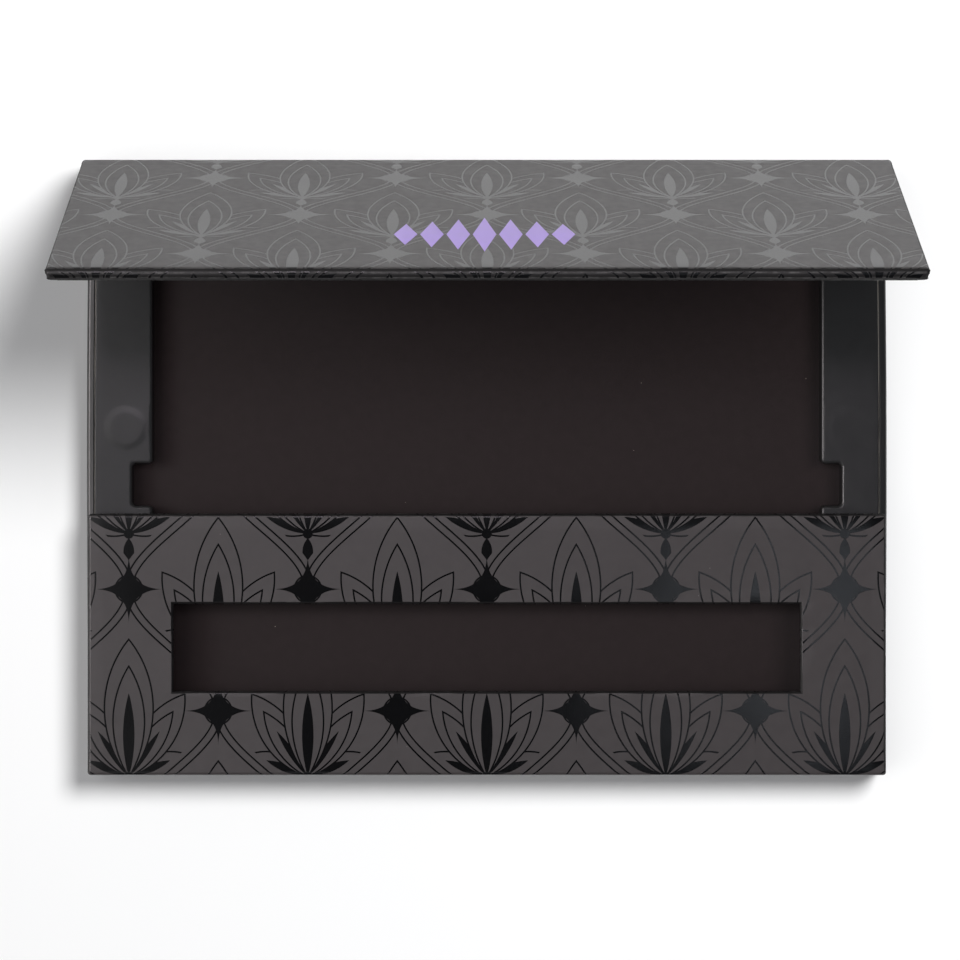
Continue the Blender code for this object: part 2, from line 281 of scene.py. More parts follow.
def place_group(tree, group, **feeds):
    return add_node(tree, "ShaderNodeGroup", {"node_tree": group}, **feeds).outputs


paper_thickness = 0.00025
paper_fibre_height = 0.000012
cockle_height = 0.00022
dust_radius = 0.055
dusty_share = 0.02
edge_starts = 0.97
edge_full = 0.80

paper_skin, given, result = new_group(
    "paper skin", [("Place", "Vector")], [("Relief", "Float"), ("Mottle", "Float"), ("Dust", "Float")]
)
fibre = add_node(paper_skin, "ShaderNodeTexNoise", Vector=given["Place"], Scale=2600.0, Detail=3.0)
cockle = add_node(paper_skin, "ShaderNodeTexNoise", Vector=given["Place"], Scale=38.0, Detail=1.0)
mottle = add_node(paper_skin, "ShaderNodeTexNoise", Vector=given["Place"], Scale=420.0, Detail=4.0)
specks = add_node(paper_skin, "ShaderNodeTexVoronoi", Vector=given["Place"], Scale=500.0)
chosen = add_node(paper_skin, "ShaderNodeTexWhiteNoise", Vector=specks.outputs["Position"])
dust = maths(paper_skin, "LESS_THAN", specks.outputs["Distance"], dust_radius)
dust = maths(paper_skin, "MULTIPLY", dust, maths(paper_skin, "LESS_THAN", chosen.outputs["Value"], dusty_share))
fine_part = maths(paper_skin, "MULTIPLY", fibre.outputs["Fac"], paper_fibre_height)
wide_part = maths(paper_skin, "MULTIPLY", cockle.outputs["Fac"], cockle_height)
paper_skin.links.new(maths(paper_skin, "ADD", fine_part, wide_part), result["Relief"])
paper_skin.links.new(mottle.outputs["Fac"], result["Mottle"])
paper_skin.links.new(dust, result["Dust"])

pressed_edge, given, result = new_group("pressed edge", [("Facing", "Vector")], [("Share", "Float")])
apart = add_node(pressed_edge, "ShaderNodeSeparateXYZ", Vector=given["Facing"]).outputs
squarest = maths(pressed_edge, "MAXIMUM", maths(pressed_edge, "ABSOLUTE", apart["X"]),
                 maths(pressed_edge, "ABSOLUTE", apart["Y"]))
squarest = maths(pressed_edge, "MAXIMUM", squarest, maths(pressed_edge, "ABSOLUTE", apart["Z"]))
pressed_edge.links.new(ranged(pressed_edge, squarest, edge_starts, edge_full, 0.0, 1.0), result["Share"])


black_dark = (0.0085, 0.0085, 0.009, 1)
black_pale = (0.0135, 0.0135, 0.014, 1)
black_rubbed = (0.035, 0.034, 0.034, 1)
black_dust = (0.16, 0.15, 0.15, 1)
black_roughness_range = (0.2, 0.8, 0.33, 0.37)
rub_paling = 0.35
rub_polish = 0.06


def black_paper_finish(name, turn=0.0):
    """Satin black paper. Its pressed edges are rubbed a little paler and glossier."""
    material, tree, shader = new_finish(name)
    where = add_node(tree, "ShaderNodeTexCoord").outputs
    skin = place_group(tree, paper_skin, Place=where["Object"])
    facing = add_node(tree, "ShaderNodeVectorRotate", {"rotation_type": "X_AXIS"}, Vector=where["Normal"], Angle=turn)
    rubbed = place_group(tree, pressed_edge, Facing=facing.outputs["Vector"])["Share"]
    colour = blend_colours(tree, skin["Mottle"], black_dark, black_pale)
    colour = blend_colours(tree, maths(tree, "MULTIPLY", rubbed, rub_paling), colour, black_rubbed)
    colour = blend_colours(tree, skin["Dust"], colour, black_dust)
    roughness = maths(tree, "SUBTRACT", ranged(tree, skin["Mottle"], *black_roughness_range),
                      maths(tree, "MULTIPLY", rubbed, rub_polish))
    relief = add_node(tree, "ShaderNodeBump", Height=skin["Relief"], Distance=1.0)
    feed_inputs(tree, shader, Base_Color=colour, Roughness=roughness, Normal=relief.outputs["Normal"])
    return material


black_paper = black_paper_finish("black paper")

wall_thickness = 0.0022
wall_bow = 0.0007
wall_slope = 0.00016
wall_outer_rounding = 0.0010
wall_inner_rounding = 0.0003
turned_down = 0.005
tray_cut_spacing = 0.006
tray_wander = 0.00014
bow_margin = 0.0005
lowest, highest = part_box("tray_wrap")
tray_paper = start_block("tray_paper", lowest, highest)
select(tray_paper, "FACE", faces_up)
bpy.ops.mesh.inset(thickness=wall_thickness)
bpy.ops.mesh.delete(type="ONLY_FACE")
select(tray_paper, "EDGE", lambda edge: edge.is_boundary)
bpy.ops.mesh.extrude_edges_move(TRANSFORM_OT_translate={"value": (0, 0, -turned_down)})


def is_outer(edge):
    """On the outside of the box."""
    middle = middle_of(edge)
    return max(abs(middle.x) - highest[0], abs(middle.y) - highest[1]) > -hair


select(
    tray_paper, "EDGE",
    lambda edge: is_outer(edge) and min(vert.co.z for vert in edge.verts) > highest[2] - hair
)
bpy.ops.transform.translate(value=(0, 0, -wall_slope))
select(tray_paper, "EDGE", lambda edge: is_corner(edge) and is_outer(edge))
bpy.ops.mesh.bevel(offset=wall_outer_rounding, segments=5)
select(tray_paper, "EDGE", lambda edge: is_corner(edge) and not is_outer(edge))
bpy.ops.mesh.bevel(offset=wall_inner_rounding, segments=3)
cut_evenly("X", lowest[0], highest[0], tray_cut_spacing)
cut_evenly("Y", lowest[1], highest[1], tray_cut_spacing)
let_edges_wander(tray_paper, tray_wander)
bow_out(tray_paper, wall_bow, highest[0] - wall_thickness - bow_margin, highest[1])
finish_paper(tray_paper, black_paper, paper_thickness)
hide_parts("tray_wrap")
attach(tray_paper, "box")


# The magnetic floor. A sheet of rubber filled with ferrite is glued over the whole floor of the box, under the rim.
# It is dead matt and brown-black, with a fine calendered grain and a few specks of dust on it.

rubber_dark = (0.0135, 0.0090, 0.0092, 1)
rubber_pale = (0.0185, 0.0128, 0.0132, 1)
rubber_dust = (0.30, 0.26, 0.22, 1)
rubber_roughness = 0.72
rubber_reflection = 0.25
rubber_grain_height = 0.00003
rubber_grain_strength = 0.7

magnetic_rubber, tree, shader = new_finish("magnetic rubber")
place = add_node(tree, "ShaderNodeTexCoord").outputs["Object"]
skin = place_group(tree, paper_skin, Place=place)
grain = add_node(tree, "ShaderNodeTexNoise", Vector=place, Scale=3200.0, Detail=2.0)
rubber_colour = blend_colours(tree, skin["Mottle"], rubber_dark, rubber_pale)
rubber_colour = blend_colours(tree, skin["Dust"], rubber_colour, rubber_dust)
rubber_relief = add_node(
    tree, "ShaderNodeBump", Height=grain.outputs["Fac"], Distance=rubber_grain_height, Strength=rubber_grain_strength
)
feed_inputs(
    tree, shader, Base_Color=rubber_colour, Roughness=rubber_roughness, Specular_IOR_Level=rubber_reflection,
    Normal=rubber_relief.outputs["Normal"]
)
dress(magnetic_rubber, "magnetic_sheet")


# The catch magnets. Eight thin discs, plated with nickel, are glued into pockets under the papers: four in the rim's
# frame and two in each flap's board. Each pair in the rim holds the pair in the flap above it.

nickel_colour = (0.62, 0.60, 0.57, 1)
nickel_roughness_range = (0.3, 0.7, 0.18, 0.34)

nickel_plate, tree, shader = new_finish("nickel plate")
place = add_node(tree, "ShaderNodeTexCoord").outputs["Object"]
scratches = add_node(tree, "ShaderNodeTexNoise", Vector=place, Scale=1800.0, Detail=4.0)
nickel_roughness = ranged(tree, scratches.outputs["Fac"], *nickel_roughness_range)
feed_inputs(tree, shader, Base_Color=nickel_colour, Metallic=1.0, Roughness=nickel_roughness)
dress(nickel_plate, *[node for node in frame["nodes"] if "magnet_" in node])


# The rim's paper. The frame round the well is wrapped on its own before it is dropped into the box. The paper stands
# up over the four catch magnets in it, and it is drawn down round the well and the two finger notches.

lowest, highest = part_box("rim_wrap")
# A face squarely along an axis has this much of its normal there.
squarely = 0.99
well_half_width = 0.0938
well_half_depth = 0.0665
notch_half_width = 0.0995
notch_front = -0.010675
notch_back = 0.001075
rim_top = 0.0106
rim_edge_band = 0.001
notch_rounding = 0.0012
rim_wall_rounding = 0.0003
rim_well_rounding = 0.0009
rim_wander = 0.00008
rim_bow_from = 0.1085
bump_radius = 0.0041
bump_foot = 0.0066
bump_cuts = 26
magnet_x = 0.10125
lid_catch_y = 0.0111
panel_catch_y = -0.0365
bumps = [
    (-magnet_x, lid_catch_y, 0.00015), (magnet_x, lid_catch_y, 0.00003),
    (-magnet_x, panel_catch_y, 0.00012), (magnet_x, panel_catch_y, 0.00008)
]
rim_half_width = 0.10928
rim_paper = start_block(
    "rim_paper", (-rim_half_width, lowest[1], lowest[2]), (rim_half_width, highest[1], rim_top)
)
for side in (-1, 1):
    cut_across("X", side * well_half_width)
    cut_across("X", side * notch_half_width)
    cut_across("Y", side * well_half_depth)
cut_across("Y", notch_front)
cut_across("Y", notch_back)


def in_well(point):
    """Over the well or one of its finger notches."""
    over_well = abs(point.x) < well_half_width and abs(point.y) < well_half_depth
    over_notch = abs(point.x) < notch_half_width and notch_front < point.y < notch_back
    return over_well or over_notch


def faces_down(face):
    return face.normal.z < -mostly


select(rim_paper, "FACE", lambda face: faces_down(face) or (faces_up(face) and in_well(middle_of(face))))
bpy.ops.mesh.delete(type="FACE")
select(rim_paper, "EDGE", lambda edge: edge.is_boundary and middle_of(edge).z > rim_top - rim_edge_band)
bpy.ops.mesh.extrude_edges_move(TRANSFORM_OT_translate={"value": (0, 0, lowest[2] - rim_top)})
bpy.ops.mesh.select_all(action="SELECT")
bpy.ops.mesh.normals_make_consistent(inside=False)
select(
    rim_paper, "EDGE",
    lambda edge: len(edge.link_faces) == 2 and edge.calc_face_angle() > sharp_angle
    and edge.verts[0].co.z != edge.verts[1].co.z
)
bpy.ops.mesh.bevel(offset=notch_rounding, segments=5)
for offset, at_wall in ((rim_wall_rounding, True), (rim_well_rounding, False)):
    select(
        rim_paper, "EDGE",
        lambda edge: len(edge.link_faces) == 2 and edge.calc_face_angle() > sharp_angle
        and middle_of(edge).z > rim_top - hair and at_wall == (abs(middle_of(edge).x) > notch_half_width + hair)
    )
    bpy.ops.mesh.bevel(offset=offset, segments=4)
for x, y, height in bumps:
    for axis, place in (("X", x), ("Y", y)):
        for side in (-1, 1):
            cut_across(axis, place + side * bump_foot)
    select(
        rim_paper, "FACE",
        lambda face: face.normal.z > squarely
        and abs(middle_of(face).x - x) < bump_foot and abs(middle_of(face).y - y) < bump_foot
    )
    bpy.ops.mesh.subdivide(number_cuts=bump_cuts)
shape = bmesh.from_edit_mesh(rim_paper.data)
for vert in shape.verts:
    away, height = min((math.hypot(vert.co.x - x, vert.co.y - y), height) for x, y, height in bumps)
    if away < bump_foot and vert.co.z > rim_top - hair:
        share = min(1, (bump_foot - away) / (bump_foot - bump_radius))
        vert.co.z += height * share * share * (3 - 2 * share)
bmesh.update_edit_mesh(rim_paper.data)
let_edges_wander(rim_paper, rim_wander)
bow_out(rim_paper, wall_bow, rim_bow_from, highest[1])
finish_paper(rim_paper, black_paper, paper_thickness)
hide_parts("rim_wrap")
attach(rim_paper, "box")


# The printed paper. Black paper with a soft matt film, over which a repeat of leaves in a curved trellis is laid in
# clear gloss varnish. The varnish stands a few hundredths of a millimetre proud and looks wet and black.

repeat_width = 0.050
repeat_height = 0.068
line_half_width = 0.00023
trellis_half_gap = 0.0010
clear_of_trellis = 0.0026
star_reach = 0.0098
star_ring_radius = 0.0038
knot_radius = 0.0014

print_tree, given, result = new_group("trellis print", [("Place", "Vector")], [("Varnish", "Float")])


def leaf_edge(x, y, foot, length, width):
    """How far a point lies outside a pointed leaf that stands upright on its foot."""
    half_length = length / 2
    half_width = width / 2
    radius = (half_length**2 + half_width**2) / (2 * half_width)
    across = maths(print_tree, "ADD", maths(print_tree, "ABSOLUTE", x), radius - half_width)
    along = maths(print_tree, "SUBTRACT", y, foot + half_length)
    squares = maths(print_tree, "ADD", maths(print_tree, "POWER", across, 2.0),
                    maths(print_tree, "MULTIPLY", along, along))
    return maths(print_tree, "SUBTRACT", maths(print_tree, "SQRT", squares), radius)


def ring_edge(x, y, centre_x, centre_y, radius):
    """How far a point lies outside a ring."""
    across = maths(print_tree, "SUBTRACT", x, centre_x)
    along = maths(print_tree, "SUBTRACT", y, centre_y)
    squares = maths(print_tree, "ADD", maths(print_tree, "MULTIPLY", across, across),
                    maths(print_tree, "MULTIPLY", along, along))
    return maths(print_tree, "SUBTRACT", maths(print_tree, "SQRT", squares), radius)


def line(edge, half_width=line_half_width):
    return maths(print_tree, "COMPARE", edge, 0.0, half_width)


def filled(edge):
    return maths(print_tree, "LESS_THAN", edge, 0.0)


def all_of(*shares):
    total = shares[0]
    for share in shares[1:]:
        total = maths(print_tree, "MAXIMUM", total, share)
    return total


def behind(share, front):
    """The part of a drawn shape that another filled shape doesn't cover."""
    return maths(print_tree, "MULTIPLY", share, maths(print_tree, "SUBTRACT", 1.0, filled(front)))


def choose(share, first, second):
    """The first value where share is 0 and the second where it is 1."""
    node = add_node(print_tree, "ShaderNodeMix", {"data_type": "FLOAT"})
    for socket, feed in zip((node.inputs[0], node.inputs[2], node.inputs[3]), (share, first, second)):
        print_tree.links.new(feed, socket)
    return node.outputs[0]


def turned_about(x, y, foot, degrees):
    """Coordinates turned about a foot on the leaf stem, so that an upright leaf leans."""
    point = add_node(print_tree, "ShaderNodeCombineXYZ", X=x, Y=y).outputs["Vector"]
    node = add_node(print_tree, "ShaderNodeVectorRotate", {"rotation_type": "Z_AXIS"}, Vector=point,
                    Center=(0, foot, 0), Angle=math.radians(degrees))
    apart = add_node(print_tree, "ShaderNodeSeparateXYZ", Vector=node.outputs["Vector"]).outputs
    return apart["X"], apart["Y"]


flat = add_node(print_tree, "ShaderNodeSeparateXYZ", Vector=given["Place"]).outputs
across = maths(print_tree, "PINGPONG", flat["X"], repeat_width / 2)
up = maths(print_tree, "WRAP", flat["Y"], -repeat_height / 2, repeat_height / 2)
up_half_drop = maths(print_tree, "WRAP", maths(print_tree, "ADD", flat["Y"], repeat_height / 2),
                     -repeat_height / 2, repeat_height / 2)
wave = maths(print_tree, "MULTIPLY", up, 2 * math.pi / repeat_height)
trellis_x = maths(print_tree, "MULTIPLY_ADD", maths(print_tree, "COSINE", wave), repeat_width / 4, repeat_width / 4)
slope = maths(print_tree, "MULTIPLY", maths(print_tree, "SINE", wave), math.pi * repeat_width / (2 * repeat_height))
steepness = maths(print_tree, "SQRT", maths(print_tree, "MULTIPLY_ADD", slope, slope, 1.0))
from_trellis = maths(print_tree, "DIVIDE", maths(print_tree, "SUBTRACT", across, trellis_x), steepness)
in_second = maths(print_tree, "GREATER_THAN", from_trellis, 0.0)
cell_x = choose(in_second, across, maths(print_tree, "SUBTRACT", repeat_width / 2, across))
cell_y = choose(in_second, up, up_half_drop)
off_trellis = maths(print_tree, "ABSOLUTE", from_trellis)
trellis = line(maths(print_tree, "SUBTRACT", off_trellis, trellis_half_gap))
well_inside = maths(print_tree, "GREATER_THAN", off_trellis, clear_of_trellis)

fold_y = maths(print_tree, "SUBTRACT", repeat_height / 2, maths(print_tree, "ABSOLUTE", up))
nearer_side = maths(
    print_tree, "GREATER_THAN",
    maths(print_tree, "ADD", maths(print_tree, "DIVIDE", across, repeat_width / 2),
          maths(print_tree, "DIVIDE", fold_y, repeat_height / 2)), 1.0
)
star_x = choose(nearer_side, across, maths(print_tree, "SUBTRACT", repeat_width / 2, across))
star_y = choose(nearer_side, fold_y, maths(print_tree, "ABSOLUTE", up))
star_roots = maths(print_tree, "ADD", maths(print_tree, "SQRT", star_x), maths(print_tree, "SQRT", star_y))
star = maths(print_tree, "LESS_THAN", star_roots, math.sqrt(star_reach))
star_ring = ring_edge(star_x, star_y, 0.0, 0.0, star_ring_radius)
stars = all_of(star, line(star_ring))
trellis = behind(trellis, star_ring)

stem_foot = -0.0185
pendant_foot = -0.0275
middle_leaf = leaf_edge(cell_x, cell_y, stem_foot, length=0.0385, width=0.0136)
middle_inner = leaf_edge(cell_x, cell_y, stem_foot, length=0.0310, width=0.0088)
middle_spear = leaf_edge(cell_x, cell_y, stem_foot, length=0.0235, width=0.0032)
high_x, high_y = turned_about(cell_x, cell_y, stem_foot, degrees=34)
high_leaf = leaf_edge(high_x, high_y, stem_foot, length=0.0280, width=0.0096)
high_inner = leaf_edge(high_x, high_y, stem_foot, length=0.0220, width=0.0058)
high_spear = leaf_edge(high_x, high_y, stem_foot, length=0.0155, width=0.0018)
low_x, low_y = turned_about(cell_x, cell_y, stem_foot, degrees=68)
low_leaf = leaf_edge(low_x, low_y, stem_foot, length=0.0172, width=0.0064)
low_inner = leaf_edge(low_x, low_y, stem_foot, length=0.0125, width=0.0022)
pendant = leaf_edge(cell_x, cell_y, pendant_foot, length=0.0078, width=0.0030)
knot = ring_edge(cell_x, cell_y, 0.0, stem_foot, knot_radius)
middle_drawn = all_of(line(middle_leaf), line(middle_inner), filled(middle_spear))
high_drawn = behind(all_of(line(high_leaf), line(high_inner), filled(high_spear)), middle_leaf)
low_drawn = behind(behind(all_of(line(low_leaf), filled(low_inner)), middle_leaf), high_leaf)
leaves = all_of(middle_drawn, high_drawn, low_drawn, filled(pendant), filled(knot))
leaves = maths(print_tree, "MULTIPLY", leaves, well_inside)
print_tree.links.new(all_of(trellis, stars, leaves), result["Varnish"])


film_dark = (0.0335, 0.0288, 0.0292, 1)
film_pale = (0.0440, 0.0382, 0.0388, 1)
# Painted shade: film that faces sideways is darkened towards this colour, as sides that see only a dark room.
film_painted_side_shade = (0.0050, 0.0046, 0.0048, 1)
# Painted shade: the film over each pressed edge is darkened towards this colour, as rounded edges that face a dark
# room.
film_painted_edge_shade = (0.0050, 0.0046, 0.0046, 1)
# Partly rubbed wear and partly a painted highlight: a paler line, in patches, where each flat side meets its pressed
# edge, as an edge that catches the light.
film_rubbed_and_glint = (0.105, 0.10, 0.10, 1)
film_dust = (0.22, 0.20, 0.20, 1)
rub_and_glint_line = 0.3
crushed_roughening = 0.25
film_roughness_range = (0.3, 0.7, 0.40, 0.475)
painted_side_shade_range = (0.95, 0.5, 0.0, 0.9)
rubbed_and_glint_range = (0.15, 0.3, 1.0, 0.0)
patchy_range = (0.45, 0.75, 0.1, 0.8)
varnish_colour = (0.0030, 0.0030, 0.0034, 1)
varnish_roughness = 0.10
varnish_height = 0.00003
varnish_left_range = (0.0, 1.0, 1.0, 0.2)
print_relief_strength = 0.8


def printed_paper_finish(name, turn=0.0, shift=(0, 0, 0), top=0.0, unrolled=False):
    """Printed paper. The turn and the shift lay the piece flat with its outer face at the height top, and the repeat
    runs on over its edges. Unrolled paper has the repeat's places in its UV map."""
    material, tree, shader = new_finish(name)
    if unrolled:
        grain_place = add_node(tree, "ShaderNodeUVMap", {"uv_map": "UVMap"}).outputs["UV"]
        repeat_place = grain_place
    else:
        where = add_node(tree, "ShaderNodeTexCoord").outputs
        facing = add_node(
            tree, "ShaderNodeVectorRotate", {"rotation_type": "X_AXIS"}, Vector=where["Normal"], Angle=turn
        )
        facing = facing.outputs["Vector"]
        grain_place = where["Object"]
        laid = add_node(tree, "ShaderNodeMapping", Vector=grain_place, Location=shift, Rotation=(turn, 0, 0))
        laid = laid.outputs["Vector"]
        height = add_node(tree, "ShaderNodeSeparateXYZ", Vector=laid).outputs["Z"]
        overhang = maths(tree, "MAXIMUM", maths(tree, "SUBTRACT", top, height), 0.0)
        beyond = add_node(tree, "ShaderNodeVectorMath", {"operation": "SCALE"}, Scale=overhang)
        tree.links.new(facing, beyond.inputs[0])
        repeat_place = add_node(tree, "ShaderNodeVectorMath", {"operation": "ADD"})
        tree.links.new(laid, repeat_place.inputs[0])
        tree.links.new(beyond.outputs["Vector"], repeat_place.inputs[1])
        repeat_place = repeat_place.outputs["Vector"]
    gloss = place_group(tree, print_tree, Place=repeat_place)["Varnish"]
    skin = place_group(tree, paper_skin, Place=grain_place)
    film = blend_colours(tree, skin["Mottle"], film_dark, film_pale)
    crushed_and_shaded = 0.0
    if not unrolled:
        crushed_and_shaded = place_group(tree, pressed_edge, Facing=facing)["Share"]
        # A paler line, in patches, just where the flat side turns into the pressed edge: partly rubbed wear, partly a
        # painted highlight.
        off_rub_and_glint_line = maths(tree, "ABSOLUTE", maths(tree, "SUBTRACT", crushed_and_shaded, rub_and_glint_line))
        rubbed = ranged(tree, off_rub_and_glint_line, *rubbed_and_glint_range)
        patchy = add_node(
            tree, "ShaderNodeTexNoise", Vector=grain_place, Scale=340.0, Detail=6.0, Roughness=0.75
        )
        worn_and_glint = maths(tree, "MULTIPLY", rubbed, ranged(tree, patchy.outputs["Fac"], *patchy_range))
        # Painted shade: the more the paper faces sideways, the darker its film.
        level = maths(tree, "ABSOLUTE", add_node(tree, "ShaderNodeSeparateXYZ", Vector=facing).outputs["Z"])
        film = blend_colours(tree, ranged(tree, level, *painted_side_shade_range), film, film_painted_side_shade)
        # Painted shade over the pressed edges. The same share also roughens the film and thins the varnish there.
        film = blend_colours(tree, crushed_and_shaded, film, film_painted_edge_shade)
        film = blend_colours(tree, worn_and_glint, film, film_rubbed_and_glint)
        gloss = maths(tree, "MULTIPLY", gloss, ranged(tree, crushed_and_shaded, *varnish_left_range))
    film = blend_colours(tree, skin["Dust"], film, film_dust)
    colour = blend_colours(tree, gloss, film, varnish_colour)
    matt = ranged(tree, skin["Mottle"], *film_roughness_range)
    matt = maths(tree, "MULTIPLY_ADD", crushed_and_shaded, crushed_roughening, matt)
    roughness = maths(tree, "MULTIPLY_ADD", gloss, maths(tree, "SUBTRACT", varnish_roughness, matt), matt)
    height = maths(tree, "MULTIPLY_ADD", gloss, varnish_height, skin["Relief"])
    relief = add_node(tree, "ShaderNodeBump", Height=height, Distance=1.0, Strength=print_relief_strength)
    feed_inputs(tree, shader, Base_Color=colour, Roughness=roughness, Normal=relief.outputs["Normal"])
    return material


# The spines' papers. Each end wall of the box has a stiff strip glued to it, covered by the same printed paper as the
# flap above it. The paper is turned in over the strip's ends and under the box.

box_end = 0.086
flap_top = 0.01505
print_turned_down = box_end + flap_top
back_spine_print = printed_paper_finish(
    "printed paper, back spine", math.pi / 2, (0, print_turned_down, 0), box_end
)
front_spine_print = printed_paper_finish(
    "printed paper, front spine", -math.pi / 2, (0, -print_turned_down, 0), box_end
)
spine_face = 0.08365
spine_top = 0.0106
fold_start = 0.0138
back_rounding = 0.00105
front_rounding = 0.0009
flange_reach = 0.010
flange_inset = 0.0016


def make_spine_paper(node, piece_name, end, rounding, finish):
    """The paper on one spine. End is 1 at the back and -1 at the front, and its corners are rounded."""
    lowest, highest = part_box(node)
    low_y, high_y = sorted((end * box_end, end * spine_face))
    piece = start_block(piece_name, (lowest[0], low_y, 0), (highest[0], high_y, fold_start))
    cut_across("Z", spine_top)
    cut_across("Y", end * (box_end - rounding - hair))
    select(
        piece, "FACE",
        lambda face: faces_up(face) or end * face.normal.y < -mostly
        or (abs(face.normal.x) > mostly and middle_of(face).z > spine_top
            and end * middle_of(face).y < box_end - rounding - hair)
    )
    bpy.ops.mesh.delete(type="FACE")
    select(
        piece, "EDGE",
        lambda edge: edge.is_boundary and middle_of(edge).z < hair and end * middle_of(edge).y < spine_face + hair
    )
    bpy.ops.mesh.extrude_edges_move(TRANSFORM_OT_translate={"value": (0, -end * flange_reach, 0)})
    bpy.ops.transform.resize(value=(1 - 2 * flange_inset / (highest[0] - lowest[0]), 1, 1))
    select(piece, "EDGE", is_corner)
    bpy.ops.mesh.bevel(offset=rounding, segments=5)
    finish_paper(piece, finish, paper_thickness)
    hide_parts(node)
    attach(piece, "box")


make_spine_paper("back_spine_wrap", "back_spine_paper", 1, back_rounding, back_spine_print)
make_spine_paper("front_spine_wrap", "front_spine_paper", -1, front_rounding, front_spine_print)


# The folds. Over each spine the printed paper runs on to the flap with nothing stiff in it, and bends there each time
# that the flap is turned. It is one strip of paper, held by the spine below and by the flap above; here each fold is
# shaped once, bent as it lies at rest, and follows neither.

joints = {joint["name"]: joint for joint in frame["joints"]}
lid_axis = Vector(joints["lid_hinge"]["pos_m"])
panel_axis = Vector(joints["front_panel_hinge"]["pos_m"])
lid_opening = math.radians(-joints["lid_hinge"]["range_deg"][0])
hinge_side = 0.0848
fold_length = 0.0015
fold_steps = 7


def make_fold(piece_name, end, half_width, rounding, axis, finish, bend):
    """The paper over one spine. End is 1 at the back and -1 at the front. Its ends are rounded as the spine's are,
    and bend is how far it is bent at rest."""
    radius = fold_length / bend
    lean = math.tan(bend / 2)
    corner = axis.z + paper_thickness / 2 * lean
    step = 2 * radius * math.tan(bend / (2 * fold_steps))
    creases = [corner - radius * lean + step * (index + 0.5) for index in range(fold_steps)]
    on_flap = abs(axis.y) - hinge_side + (paper_thickness / 2 - radius) * lean
    paper_top = creases[-1] + step / 2 + on_flap
    low_y, high_y = sorted((end * box_end, end * (box_end - rounding - hair)))
    piece = start_block(piece_name, (-half_width, low_y, fold_start), (half_width, high_y, paper_top))
    select(piece, "FACE", lambda face: abs(face.normal.z) > mostly or end * face.normal.y < -mostly)
    bpy.ops.mesh.delete(type="FACE")
    select(piece, "EDGE", is_corner)
    bpy.ops.mesh.bevel(offset=rounding, segments=5)
    for crease in creases:
        cut_across("Z", crease)
    bpy.ops.object.mode_set(mode="OBJECT")
    flat_heights = [vert.co.z for vert in piece.data.vertices]
    spine_share = (print_turned_down - fold_start - hinge_side) / (paper_top - fold_start)
    places = piece.data.uv_layers.active or piece.data.uv_layers.new(name="UVMap")
    for corner_index, corner_point in enumerate(piece.data.loops):
        point = piece.data.vertices[corner_point.vertex_index].co
        places.data[corner_index].uv = (point.x, end * (hinge_side + (paper_top - point.z) * spine_share))
    bpy.ops.object.mode_set(mode="EDIT")
    for crease in reversed(creases):
        select(piece, "EDGE", lambda edge: min(flat_heights[vert.index] for vert in edge.verts) > crease + step / 4)
        bpy.ops.transform.rotate(
            value=-end * bend / fold_steps, orient_axis="X", center_override=(0, end * box_end, crease)
        )
    finish_paper(piece, finish, paper_thickness)
    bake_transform(piece)


fold_print = printed_paper_finish("printed paper, folds", unrolled=True)
make_fold(
    "back_fold_paper", 1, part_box("back_spine_wrap")[1][0], back_rounding, lid_axis, fold_print,
    math.pi / 2 - lid_opening
)
make_fold(
    "front_fold_paper", -1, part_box("front_spine_wrap")[1][0], front_rounding, panel_axis, fold_print,
    math.pi / 2
)


# The flaps' papers. The printed paper lies over the outside of each flap board, is pressed round its edges and turned
# in underneath, with a mitre at each free corner. The front flap's paper is also cut and turned through its window.

open_lid = (
    Matrix.Translation(lid_axis) @ Matrix.Rotation(-lid_opening, 4, "X") @ Matrix.Translation(-lid_axis)
)
flat_lid_shift = lid_axis - Matrix.Rotation(lid_opening, 3, "X") @ lid_axis
lid_print = printed_paper_finish("printed paper, lid", lid_opening, flat_lid_shift, flap_top)
panel_print = printed_paper_finish("printed paper, panel", top=flap_top)

flap_bottom = 0.01145
turn_in = 0.014
lid_front = -0.0125
panel_back = -0.0129
lid_half_width = 0.1131
panel_half_width = 0.1116
flap_rounding = 0.0010
flap_cut_spacing = 0.005
lid_front_rounding = 0.0016
lid_wander = 0.00014
crease_from_axis = 0.0053
crease_half_width = 0.0005
crease_depth = 0.00006
tuck_reach = 0.005
tuck_start = 0.0010
tuck_depth = 0.0009
mitre_width = 0.00022
mitre_depth = 0.00012
speck = 0.00001


def is_fold_edge(edge):
    """At the side of a flap where its paper runs on to the fold, but for the bottom edge there."""
    middle = middle_of(edge)
    return abs(middle.y) > hinge_side - hair and middle.z > flap_bottom + hair


def tuck_in_corners(piece, half_width, free_edge):
    """Draws the sheet in under the flap's free corners, where its folded ends are pulled tight."""
    shape = bmesh.from_edit_mesh(piece.data)
    for vert in shape.verts:
        beside = 1 - (half_width - abs(vert.co.x)) / tuck_reach
        near = 1 - abs(vert.co.y - free_edge) / tuck_reach
        below = (flap_top - tuck_start - vert.co.z) / (flap_top - tuck_start - flap_bottom)
        if min(beside, near, below) > 0:
            vert.co.x -= math.copysign(tuck_depth * beside * near * below, vert.co.x)
    bmesh.update_edit_mesh(piece.data)


